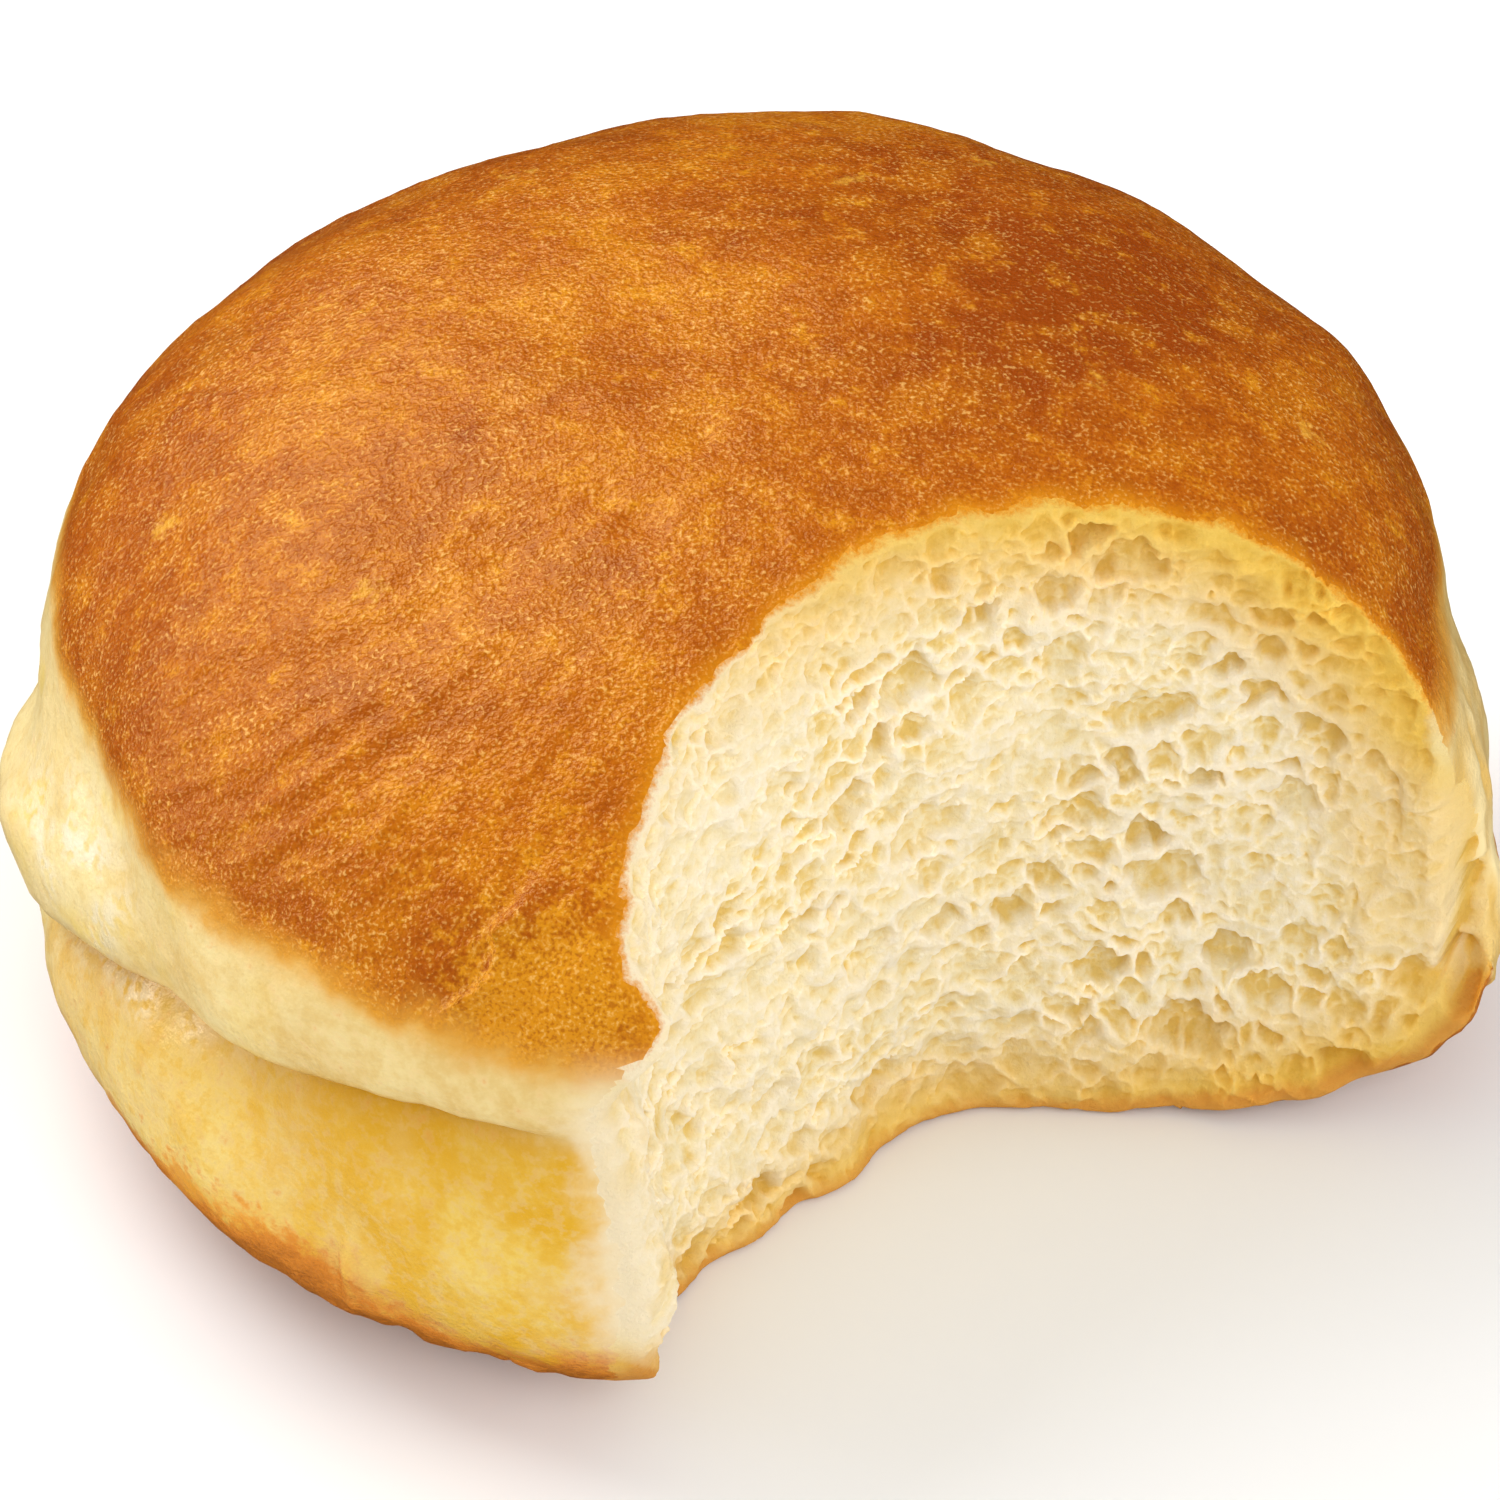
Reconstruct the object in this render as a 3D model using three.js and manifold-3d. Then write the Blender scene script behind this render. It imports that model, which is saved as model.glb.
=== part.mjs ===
// A bitten berliner: a round yeast doughnut fried on both sides, with a pale band round its middle
// and one bite out of its front right that bares the open crumb. One solid, in millimetres, +Z up,
// with its origin at the middle of its underside. X runs to the right, and -Y to the front.

import * as THREE from 'three';
import { mergeVertices } from 'three/addons/utils/BufferGeometryUtils.js';
import Module from 'manifold-3d';

// The loaf: a dome over a squarer base, each a quarter superellipse, meeting at the belt.
const LOAF_RADIUS = 42.3;
const LOAF_HEIGHT = 49.1;
const BELT_HEIGHT = 26.3;
const DOME_POWER = 2.18;
const BASE_POWER = 5.6;
const FLAT_RADIUS = 25;
const LOAF_ROWS = 38;
const LOAF_SIDES = 60;
// The loaf's axis, set so that the origin lies midway between the finished doughnut's sides.
const AXIS_X = -0.3;
const AXIS_Y = -0.4;

// The fold: the upper half of the dough hangs over the lower half, from the left round to the front.
const FOLD_HEIGHT = 26.5;
const FOLD_DIP = 12;
const FOLD_DIP_ANGLE = 180;
const FOLD_DIP_WIDTH = 28;
const FOLD_DEPTH = 2.2;
const FOLD_ANGLE = -143;
const FOLD_WIDTH = 31;
const FOLD_LIP = 1.4;
const FOLD_FADE = 6;

// Swells of the soft band, as height out of the loaf, angle and width round it, level and spread up it.
const SWELLS = [
  { out: 2.5, angle: -166, width: 17, level: 21, spread: 5 },
  { out: 0.9, angle: -172, width: 40, level: 11, spread: 5 },
  { out: 1.4, angle: 4, width: 44, level: 20, spread: 6 },
  { out: 3.0, angle: -6, width: 34, level: 9.5, spread: 6 },
  { out: 0.6, angle: 78, width: 40, level: 17, spread: 8 },
  { out: -0.8, angle: 128, width: 36, level: 40, spread: 9 },
  { out: -0.6, angle: 2, width: 30, level: 33, spread: 6 },
  { out: -0.8, angle: 176, width: 24, level: 31, spread: 5 },
];
// Slow waves of the soft sides, as height out, waves round the loaf, waves up it and where they start.
const WAVES = [
  { out: 0.28, round: 5, up: 1.2, start: 0.6 },
  { out: 0.2, round: 9, up: 2.1, start: 2.4 },
  { out: 0.14, round: 14, up: 3.4, start: 4.1 },
];
// Shallow dents and blisters of the top crust, as place, depth and width.
const DENTS = [
  { x: -6, y: 3, deep: 0.55, wide: 5 },
  { x: -14, y: -14, deep: 0.5, wide: 6 },
  { x: 11, y: 20, deep: 0.5, wide: 5 },
  { x: -22, y: 16, deep: -0.45, wide: 6 },
  { x: 6, y: 8, deep: -0.4, wide: 5 },
  { x: 24, y: 14, deep: 0.45, wide: 6 },
  { x: -24, y: -12, deep: -0.4, wide: 5 },
];
// Swells fade out between these radii, so that the middle of the top and the underside stay even.
const SWELL_INNER = 25;
const SWELL_OUTER = 37;

// The bite: an upright scoop about an axis at the front right, with tooth marks along its wall.
const BITE_X = 27;
const BITE_Y = -39.3;
const BITE_RADIUS = 31.5;
const BITE_BELOW = -4;
const BITE_ABOVE = 54;
const BITE_ROWS = 14;
const BITE_SIDES = 80;
// Tooth marks, as depth, angle about the scoop's axis and width. The lower teeth mark the foot alone.
const UPPER_TEETH = [
  { deep: 2.7, angle: 167, width: 24 },
];
const LOWER_TEETH = [
  { deep: 1.8, angle: 121, width: 9 },
  { deep: -3.2, angle: 84, width: 22 },
  { deep: -3.4, angle: 179, width: 8 },
];
const LOWER_TEETH_REACH = 22;

// Crumb cells along the wall of the bite, the largest first, set round and up it by even steps.
const CELL_COUNT = 92;
const CELL_LARGE = 2.7;
const CELL_SMALL = 1.0;
const CELL_ROUNDED_FROM = 1.5;
const CELL_STEP_ROUND = 0.7548776662;
const CELL_STEP_UP = 0.569840291;
const CELL_STEP_SUNK = 0.6180339887;
const CELL_FIRST_ANGLE = 60;
const CELL_LAST_ANGLE = 186;
const CELL_LOWEST = 3;
const CELL_HIGHEST = 46;
const CELL_STRETCH = 1.3;
const CELL_SQUEEZE = 0.82;
const CELL_SUNK = 0.45;
const CELL_LEAN_RIGHT = 35;
const CELL_LEAN_LEFT = -65;
const CRUST_MARGIN = 1.2;

const CRUST_COLOUR = 0xc8781e;
const CRUST_ROUGHNESS = 0.42;

const { degToRad, smoothstep, lerp } = THREE.MathUtils;

// A smooth hump of height 1 at an angle given in degrees, falling off to both sides round the axis.
function lobe(angle, centre, width) {
  const gap = THREE.MathUtils.euclideanModulo(angle - degToRad(centre) + Math.PI, 2 * Math.PI) - Math.PI;
  return Math.exp(-((gap / degToRad(width)) ** 2));
}

function bell(value, centre, width) {
  return Math.exp(-(((value - centre) / width) ** 2));
}

function fraction(value) {
  return value - Math.floor(value);
}

// The side of the loaf, from the rim of its flat underside up to the top of its dome.
class LoafSide extends THREE.Curve {
  constructor() {
    super();
    this.arcLengthDivisions = 4000;
  }

  getPoint(t, target = new THREE.Vector2()) {
    const start = Math.acos((FLAT_RADIUS / LOAF_RADIUS) ** (BASE_POWER / 2));
    const turn = lerp(-start, Math.PI / 2, t);
    const power = turn > 0 ? DOME_POWER : BASE_POWER;
    const reach = turn > 0 ? LOAF_HEIGHT - BELT_HEIGHT : BELT_HEIGHT;
    const radius = LOAF_RADIUS * Math.abs(Math.cos(turn)) ** (2 / power);
    const rise = reach * Math.abs(Math.sin(turn)) ** (2 / power);
    return target.set(radius, BELT_HEIGHT + Math.sign(turn) * rise);
  }
}

// How far the soft dough stands out of the plain loaf, at an angle round it and a height.
function relief(angle, height) {
  const foldLine = FOLD_HEIGHT - FOLD_DIP * lobe(angle, FOLD_DIP_ANGLE, FOLD_DIP_WIDTH);
  const gap = height - foldLine;
  const fold = gap > 0 ? Math.exp(-((gap / FOLD_LIP) ** 2)) : Math.exp(-((-gap / FOLD_FADE) ** 1.3));
  let out = -FOLD_DEPTH * lobe(angle, FOLD_ANGLE, FOLD_WIDTH) * fold;
  for (const swell of SWELLS) {
    out += swell.out * lobe(angle, swell.angle, swell.width) * bell(height, swell.level, swell.spread);
  }
  for (const wave of WAVES) {
    const upright = 2 * Math.PI * wave.up * height / LOAF_HEIGHT;
    out += wave.out * Math.sin(wave.round * angle + upright + wave.start);
  }
  return out;
}

// How far the wall of the bite lies from the scoop's axis.
function biteRadius(angle, height) {
  const low = 1 - smoothstep(height, 0, LOWER_TEETH_REACH);
  let radius = BITE_RADIUS;
  for (const tooth of UPPER_TEETH) {
    radius += tooth.deep * lobe(angle, tooth.angle, tooth.width);
  }
  for (const tooth of LOWER_TEETH) {
    radius += low * tooth.deep * lobe(angle, tooth.angle, tooth.width);
  }
  return radius;
}

// How much crust and crumb lies between a point in the loaf and its outside.
function depthInLoaf(point) {
  const radius = Math.hypot(point.x, point.y);
  const above = point.z > BELT_HEIGHT;
  const power = above ? DOME_POWER : BASE_POWER;
  const reach = above ? LOAF_HEIGHT - BELT_HEIGHT : BELT_HEIGHT;
  const level = Math.min(Math.abs(point.z - BELT_HEIGHT) / reach, 1);
  const out = Math.min(radius / LOAF_RADIUS, 1);
  const sideways = LOAF_RADIUS * (1 - level ** power) ** (1 / power) - radius;
  const upright = reach * (1 - out ** power) ** (1 / power) - Math.abs(point.z - BELT_HEIGHT);
  return Math.min(sideways, upright);
}

const wasm = await Module();
wasm.setup();

// Joins a geometry's shared corners, drops the triangles that closed up at a pole, and makes a solid of it.
function solidFrom(geometry) {
  geometry.deleteAttribute('normal');
  geometry.deleteAttribute('uv');
  const merged = mergeVertices(geometry);
  const corners = merged.index.array;
  const kept = [];
  for (let i = 0; i < corners.length; i += 3) {
    const [a, b, c] = [corners[i], corners[i + 1], corners[i + 2]];
    if (a !== b && b !== c && c !== a) kept.push(a, b, c);
  }
  const mesh = new wasm.Mesh({
    numProp: 3,
    vertProperties: new Float32Array(merged.attributes.position.array),
    triVerts: new Uint32Array(kept),
  });
  return new wasm.Manifold(mesh);
}

// How far the top crust is pressed in at a place on the loaf, fading out down its sides.
function dent(x, y, height) {
  let deep = 0;
  for (const mark of DENTS) {
    deep += mark.deep * bell(Math.hypot(x - mark.x, y - mark.y), 0, mark.wide);
  }
  return deep * smoothstep(height, BELT_HEIGHT, LOAF_HEIGHT);
}

// Turns a profile round the Z axis, then moves each point in or out by a rule of angle and height.
function turned(profile, sides, radiusAt) {
  const geometry = new THREE.LatheGeometry(profile, sides);
  geometry.rotateX(Math.PI / 2);
  const position = geometry.attributes.position;
  for (let i = 0; i < position.count; i++) {
    const [x, y, z] = [position.getX(i), position.getY(i), position.getZ(i)];
    const angle = Math.atan2(y, x);
    const moved = radiusAt(Math.hypot(x, y), angle, z);
    position.setXY(i, moved * Math.cos(angle), moved * Math.sin(angle));
  }
  return geometry;
}

function makeLoaf() {
  const side = new LoafSide().getSpacedPoints(LOAF_ROWS);
  side[0].y = 0;
  side[LOAF_ROWS].x = 0;
  const profile = [new THREE.Vector2(0, 0), ...side];
  const geometry = turned(profile, LOAF_SIDES, (radius, angle, height) => {
    return radius + smoothstep(radius, SWELL_INNER, SWELL_OUTER) * relief(angle, height);
  });
  const position = geometry.attributes.position;
  for (let i = 0; i < position.count; i++) {
    const [x, y, z] = [position.getX(i), position.getY(i), position.getZ(i)];
    position.setZ(i, z - dent(x, y, z));
  }
  return solidFrom(geometry);
}

function makeScoop() {
  const profile = [new THREE.Vector2(0, BITE_BELOW)];
  for (let row = 0; row <= BITE_ROWS; row++) {
    profile.push(new THREE.Vector2(BITE_RADIUS, lerp(BITE_BELOW, BITE_ABOVE, row / BITE_ROWS)));
  }
  profile.push(new THREE.Vector2(0, BITE_ABOVE));
  const geometry = turned(profile, BITE_SIDES, (radius, angle, height) => {
    return radius * biteRadius(angle, height) / BITE_RADIUS;
  });
  geometry.translate(BITE_X, BITE_Y, 0);
  return solidFrom(geometry);
}

// One crumb cell: an egg-shaped hollow on the wall, leaning with the tear of the crumb.
function makeCell(order) {
  const round = fraction(0.5 + order * CELL_STEP_ROUND);
  const up = fraction(0.5 + order * CELL_STEP_UP);
  const half = CELL_LARGE * (CELL_SMALL / CELL_LARGE) ** (order / CELL_COUNT);
  const angle = degToRad(lerp(CELL_FIRST_ANGLE, CELL_LAST_ANGLE, round));
  const height = lerp(CELL_LOWEST, CELL_HIGHEST, up);
  const sunk = half * CELL_SUNK * fraction(order * CELL_STEP_SUNK);
  const reach = biteRadius(angle, height) + sunk;
  const centre = new THREE.Vector3(
    BITE_X + reach * Math.cos(angle), BITE_Y + reach * Math.sin(angle), height);
  if (depthInLoaf(centre) < half + CRUST_MARGIN) return null;

  const inward = new THREE.Vector3(Math.cos(angle), Math.sin(angle), 0);
  const lean = degToRad(lerp(CELL_LEAN_RIGHT, CELL_LEAN_LEFT, round));
  const along = new THREE.Vector3(-Math.sin(angle), Math.cos(angle), 0).applyAxisAngle(inward, lean);
  const across = new THREE.Vector3().crossVectors(inward, along);
  const geometry = new THREE.IcosahedronGeometry(half, half < CELL_ROUNDED_FROM ? 0 : 1);
  geometry.scale(CELL_STRETCH, CELL_SQUEEZE, 1);
  geometry.applyMatrix4(new THREE.Matrix4().makeBasis(along, across, inward).setPosition(centre));
  return solidFrom(geometry);
}

function makeDoughnut() {
  let bite = makeScoop();
  for (let order = 0; order < CELL_COUNT; order++) {
    const cell = makeCell(order);
    if (cell) bite = bite.add(cell);
  }
  const mesh = makeLoaf().subtract(bite).getMesh();
  const geometry = new THREE.BufferGeometry();
  geometry.setAttribute('position', new THREE.BufferAttribute(mesh.vertProperties, 3));
  geometry.setIndex(new THREE.BufferAttribute(mesh.triVerts, 1));
  geometry.translate(AXIS_X, AXIS_Y, 0);
  geometry.computeVertexNormals();
  return geometry;
}

const crust = new THREE.MeshStandardMaterial({
  color: CRUST_COLOUR, roughness: CRUST_ROUGHNESS, metalness: 0,
});
const doughnut = new THREE.Mesh(makeDoughnut(), crust);
doughnut.name = 'doughnut';

const berliner = new THREE.Group();
berliner.add(doughnut);

export default berliner;
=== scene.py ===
import itertools
import math

import bmesh
import bpy
import numpy as np
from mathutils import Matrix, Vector
from mathutils.bvhtree import BVHTree
from mathutils.kdtree import KDTree


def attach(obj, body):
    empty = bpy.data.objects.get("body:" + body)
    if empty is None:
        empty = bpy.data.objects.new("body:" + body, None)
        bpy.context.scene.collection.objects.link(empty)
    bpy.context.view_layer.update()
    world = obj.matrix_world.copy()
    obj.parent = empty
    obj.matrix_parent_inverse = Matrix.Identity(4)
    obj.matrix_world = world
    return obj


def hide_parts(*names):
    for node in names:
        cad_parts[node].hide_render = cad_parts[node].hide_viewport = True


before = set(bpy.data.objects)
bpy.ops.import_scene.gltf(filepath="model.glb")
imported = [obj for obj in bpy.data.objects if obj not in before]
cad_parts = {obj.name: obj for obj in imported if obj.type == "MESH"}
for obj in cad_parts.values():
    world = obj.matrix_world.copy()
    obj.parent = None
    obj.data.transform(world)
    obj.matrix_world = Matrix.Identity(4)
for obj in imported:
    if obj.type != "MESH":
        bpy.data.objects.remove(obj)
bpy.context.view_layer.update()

# The loaf: one ball of yeast dough, fried on one side and then on the other. A browned dome sits over
# a squarer browned foot, and the soft pale band between them, which stayed out of the fat, folds over itself
# from the left round to the front. Sizes are in millimetres, from the loaf's own axis.
MM = 0.001
LOAF_RADIUS = 42.3
LOAF_HEIGHT = 49.1
BELT_HEIGHT = 26.3
DOME_POWER = 2.18
BASE_POWER = 5.6
FLAT_RADIUS = 25
AXIS = np.array([-0.3, -0.4, 0.0])
LOAF_FINENESS = 8

FOLD_HEIGHT = 26.5
FOLD_DIP = 12
FOLD_DIP_ANGLE = 180
FOLD_DIP_WIDTH = 28
FOLD_DEPTH = 3.2
FOLD_ANGLE = -143
FOLD_WIDTH = 36
FOLD_LIP = 1.4
FOLD_FADE = 5
FOLD_SHORTER = (2.8, -172, 24)
FOLD_HANG = 2.2
FOLD_HANG_LEVEL = 1.4
FOLD_HANG_SPREAD = 1.5
FOLD_SAGS = [(1.7, -140, 20), (-1.6, 182, 13)]

# Swells of the soft band: height out, angle, width round the loaf, level, spread up it.
SWELLS = [
    (2.1, -173, 11, 21.4, 3.2),
    (0.9, -172, 40, 11, 5),
    (1.4, 4, 44, 20, 6),
    (3.0, -6, 34, 9.5, 6),
    (0.6, 78, 40, 17, 8),
    (-0.8, 128, 36, 40, 9),
    (-0.6, 2, 30, 33, 6),
    (-0.8, 176, 24, 31, 5),
    (-1.1, -160, 18, 29, 3.5),
    (-1.5, 174, 13, 24.4, 2.8),
    (-0.5, -153, 10, 10, 5),
]
SWELL_INNER = 25
SWELL_OUTER = 37
# Slow waves of the sides: height out, waves round, waves up, start.
WAVES = [(0.28, 5, 1.2, 0.6), (0.2, 9, 2.1, 2.4), (0.14, 14, 3.4, 4.1)]
# Dents and blisters of the top crust: place, depth, width.
DENTS = [
    (-6, 3, 0.55, 5),
    (-14, -14, 0.5, 6),
    (11, 20, 0.5, 5),
    (-22, 16, -0.45, 6),
    (6, 8, -0.4, 5),
    (24, 14, 0.45, 6),
    (-24, -12, -0.4, 5),
]


def eased(low, high, value):
    part = np.clip((value - low) / (high - low), 0, 1)
    return part * part * (3 - 2 * part)


def bell(value, centre, width):
    return np.exp(-(((value - centre) / width) ** 2))


def lobe(angle, centre, width):
    gap = (angle - math.radians(centre) + np.pi) % (2 * np.pi) - np.pi
    return np.exp(-((gap / math.radians(width)) ** 2))


LATTICE = 64


def lumps(points, size, seed):
    """Smooth random heights from -1 to 1 at points, in lumps of about that size."""
    heights = np.random.default_rng(seed).uniform(-1, 1, (LATTICE,) * 3)
    place = points / size
    cell = np.floor(place).astype(int)
    part = place - cell
    part = part * part * (3 - 2 * part)
    total = np.zeros(len(points))
    for corner in itertools.product((0, 1), repeat=3):
        weight = np.prod(np.where(corner, part, 1 - part), axis=1)
        x, y, z = ((cell + corner) % LATTICE).T
        total += weight * heights[x, y, z]
    return total


def heaped(start, points, layers):
    """Adds lumps of several sizes: the height, size and seed of each, and how far it is squeezed upright."""
    for height, size, seed, squeeze in layers:
        start = start + height * lumps(points * (1, 1, squeeze), size, seed)
    return start


def loaf_side():
    """The loaf's side from the top of the dome to the middle of the underside, and the way along it."""
    turn = np.linspace(np.pi / 2, -np.pi / 2, 20001)
    above = turn > 0
    power = np.where(above, DOME_POWER, BASE_POWER)
    reach = np.where(above, LOAF_HEIGHT - BELT_HEIGHT, BELT_HEIGHT)
    radius = LOAF_RADIUS * np.abs(np.cos(turn)) ** (2 / power)
    height = BELT_HEIGHT + np.sign(turn) * reach * np.abs(np.sin(turn)) ** (2 / power)
    height = np.where((radius < FLAT_RADIUS) & ~above, 0, height)
    way = np.concatenate([[0], np.cumsum(np.hypot(np.diff(radius), np.diff(height)))])
    return radius, height, way


def fold_gap(angle, height):
    """How far a place on the side lies above the line of the fold."""
    line = FOLD_HEIGHT - FOLD_DIP * lobe(angle, FOLD_DIP_ANGLE, FOLD_DIP_WIDTH)
    for sag, centre, width in FOLD_SAGS:
        line = line - sag * lobe(angle, centre, width)
    return height - line


def fold_strength(angle):
    """1 along the fold, easing off to 0 past its two ends."""
    gap = (angle - math.radians(FOLD_ANGLE) + np.pi) % (2 * np.pi) - np.pi
    return np.exp(-((gap / math.radians(FOLD_WIDTH)) ** 4))


def relief(angle, height):
    """How far the soft dough stands out of the plain loaf."""
    gap = fold_gap(angle, height)
    lip = np.exp(-((np.maximum(gap, 0) / FOLD_LIP) ** 2))
    shorter, centre, width = FOLD_SHORTER
    fade = FOLD_FADE - shorter * lobe(angle, centre, width)
    under = np.exp(-((np.maximum(-gap, 0) / fade) ** 1.2))
    out = -FOLD_DEPTH * fold_strength(angle) * np.where(gap > 0, lip, under)
    for swell, centre, width, level, spread in SWELLS:
        out = out + swell * lobe(angle, centre, width) * bell(height, level, spread)
    for wave, turns, rises, start in WAVES:
        out = out + wave * np.sin(turns * angle + 2 * np.pi * rises * height / LOAF_HEIGHT + start)
    return out


def dent(x, y, height):
    """How far the top crust is pressed in."""
    deep = 0
    for centre_x, centre_y, depth, width in DENTS:
        deep = deep + depth * bell(np.hypot(x - centre_x, y - centre_y), 0, width)
    return deep * eased(BELT_HEIGHT, LOAF_HEIGHT, height)


def even_ball(level):
    """Directions and triangles of a ball of even triangles."""
    maker = bmesh.new()
    bmesh.ops.create_icosphere(maker, subdivisions=level, radius=1)
    mesh = bpy.data.meshes.new("ball")
    maker.to_mesh(mesh)
    maker.free()
    directions = np.empty(len(mesh.vertices) * 3)
    mesh.vertices.foreach_get("co", directions)
    corners = np.empty(len(mesh.polygons) * 3, dtype=np.int32)
    mesh.loops.foreach_get("vertex_index", corners)
    bpy.data.meshes.remove(mesh)
    return directions.reshape(-1, 3), corners.reshape(-1, 3)


def outward(points, triangles):
    """The direction that the surface faces at each point."""
    a, b, c = (points[triangles[:, k]] for k in range(3))
    across = np.cross(b - a, c - a)
    normals = np.zeros_like(points)
    for k in range(3):
        np.add.at(normals, triangles[:, k], across)
    return normals / np.maximum(np.linalg.norm(normals, axis=1, keepdims=True), 1e-12)


# A flake of crust that has lifted beside the bite, and a tear in the skin above the foot: the angle and
# height of their lower ends, the slope of their edges, their lengths and how far they stand out.
FLAKE = (-113.8, 33.7, 0.62, 6.1, 0.65)
TEAR = (-124.5, 7.6, 0.1, 5.0, 0.6)
# Blisters at the back of the dome: place, height out, width.
BLISTERS = [(7.5, 36, 38.6, 0.35, 3), (34.6, 16, 37.2, 0.45, 3.5)]
# Small dents in the front of the dome.
SMALL_DENTS = [(-2.8, -6.1), (-8.4, -10.7), (-6.2, -12.4), (-14, -14.4), (-18, -17.8)]
SMALL_DENT_DEPTH = 0.3
SMALL_DENT_WIDTH = 1.3
# Lumps of the skin: height out, size, seed, squeeze.
SKIN_LUMPS = [(0.14, 6.5, 11, 1), (0.09, 2.8, 12, 1), (0.04, 1.3, 13, 1)]
SLACK_LUMPS = [(0.16, 4.2, 10, 1), (0.10, 1.8, 9, 0.4), (0.05, 0.9, 8, 1)]
FOOT_LUMPS = [(0.30, 2.4, 14, 1), (0.24, 1.1, 15, 1)]
TORN_EDGE_LUMPS = [(0.5, 1.3, 17, 1), (0.9, 3.5, 18, 1)]
WRINKLE_HEIGHT = 0.18


def step_place(points, angle, step):
    """How far a point lies beside a raised edge, and how near the middle of its length it is."""
    start_angle, start_height, slope, length, _ = step
    around = LOAF_RADIUS * (angle - math.radians(start_angle))
    rise = points[:, 2] - start_height
    tilt = math.atan(slope)
    beside = math.cos(tilt) * around - math.sin(tilt) * rise
    beside = heaped(beside, points, TORN_EDGE_LUMPS)
    along = math.sin(tilt) * around + math.cos(tilt) * rise
    return beside, bell(along, length / 2, length * 0.6)


def step_cover(points, angle, step, fade=4):
    """1 along the top of a raised edge, easing off behind it and past its ends."""
    beside, near = step_place(points, angle, step)
    return near * eased(-0.3, 0.3, beside) * np.exp(-np.maximum(beside, 0) / fade)


def skin(points, angle):
    """Fine relief of the fried skin: slack lumps, wrinkles drawn across it, lifted flakes, a crusty foot."""
    height = points[:, 2]
    browned = eased(27, 34, height)
    foot = (1 - eased(3, 9, height)) * eased(0.2, 1.5, height)
    around = LOAF_RADIUS * angle
    drawn = np.stack([0.8 * around + 0.6 * height, (0.6 * around - 0.8 * height) * 4, height * 0], axis=1)
    creases = (1 - np.abs(lumps(drawn, 9, 21))) ** 5 + 0.6 * (1 - np.abs(lumps(drawn, 4, 22))) ** 3
    wrinkled = lobe(angle, -125, 45) * bell(height, 39, 7) + 0.25
    out = heaped(0, points, SKIN_LUMPS) + (1 - browned) * heaped(0, points, SLACK_LUMPS)
    out = out + WRINKLE_HEIGHT * browned * wrinkled * creases
    for step in (FLAKE, TEAR):
        beside, near = step_place(points, angle, step)
        cover = step_cover(points, angle, step) * (1 + 0.6 * lumps(points, 1.5, 19))
        ridge = near * bell(beside, 0.25, 0.45) * eased(-0.5, 0.4, lumps(points, 1.2, 20))
        out = out + step[4] * (cover + 0.7 * ridge)
    for x, y in SMALL_DENTS:
        off = np.hypot(points[:, 0] - x, points[:, 1] - y)
        out = out - SMALL_DENT_DEPTH * browned * bell(off, 0, SMALL_DENT_WIDTH)
    for x, y, z, rise, width in BLISTERS:
        out = out + rise * bell(np.linalg.norm(points - (x, y, z), axis=1), 0, width)
    return out + foot * heaped(0, points, FOOT_LUMPS)


def loaf_points(directions):
    """Where the points of a ball lie on the loaf, and their angles round it."""
    radius, height, way = loaf_side()
    angle = np.arctan2(directions[:, 1], directions[:, 0])
    along = way[-1] * np.arccos(np.clip(directions[:, 2], -1, 1)) / np.pi
    reach = np.interp(along, way, radius)
    level = np.interp(along, way, height)
    hung = fold_strength(angle) * bell(fold_gap(angle, level), FOLD_HANG_LEVEL, FOLD_HANG_SPREAD)
    reach = reach + eased(SWELL_INNER, SWELL_OUTER, reach) * relief(angle, level)
    x, y = reach * np.cos(angle), reach * np.sin(angle)
    return np.stack([x, y, level - dent(x, y, level) - FOLD_HANG * hung], axis=1), angle


def solid(name, points, faces):
    """A mesh object from points in millimetres about the loaf's axis."""
    mesh = bpy.data.meshes.new(name)
    mesh.from_pydata((points + AXIS) * MM, [], faces)
    piece = bpy.data.objects.new(name, mesh)
    bpy.context.collection.objects.link(piece)
    return piece


directions, loaf_triangles = even_ball(LOAF_FINENESS)
loaf_surface, loaf_angle = loaf_points(directions)
loaf_surface = loaf_surface + outward(loaf_surface, loaf_triangles) * skin(loaf_surface, loaf_angle)[:, None]
loaf_surface[:, 2] = np.maximum(loaf_surface[:, 2], 0)
doughnut = solid("doughnut_crust_and_crumb", loaf_surface, loaf_triangles)

# The bite: a mouthful torn out of the front right, as an upright scoop with the marks of the upper and
# lower teeth. It bares the crumb, a foam of cells blown by the yeast: the largest as set out in the solid,
# and ever finer ones between them, drawn out of round where the crumb tore.
BITE_X = 27
BITE_Y = -39.3
BITE_RADIUS = 31.5
UPPER_TEETH = [(2.7, 167, 24)]
LOWER_TEETH = [(1.8, 121, 9), (-3.2, 84, 22), (-3.4, 179, 8)]
LOWER_TEETH_REACH = 22

CELL_COUNT = 92
CELL_LARGE = 2.7
CELL_SMALL = 1.0
CELL_STEP_ROUND = 0.7548776662
CELL_STEP_UP = 0.569840291
CELL_FIRST_ANGLE = 60
CELL_LAST_ANGLE = 186
CELL_LOWEST = 3
CELL_HIGHEST = 46
CELL_STRETCH = 1.3
CELL_LEAN_RIGHT = 35
CELL_LEAN_LEFT = -65

WALL_FIRST = math.radians(48)
WALL_LAST = math.radians(202)
WALL_LOW = -1.5
WALL_HIGH = 51.0
WALL_STEP = 0.155
CELL_DROOP = 0.3
MOUTH_FRONT = (36, -52)

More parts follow.
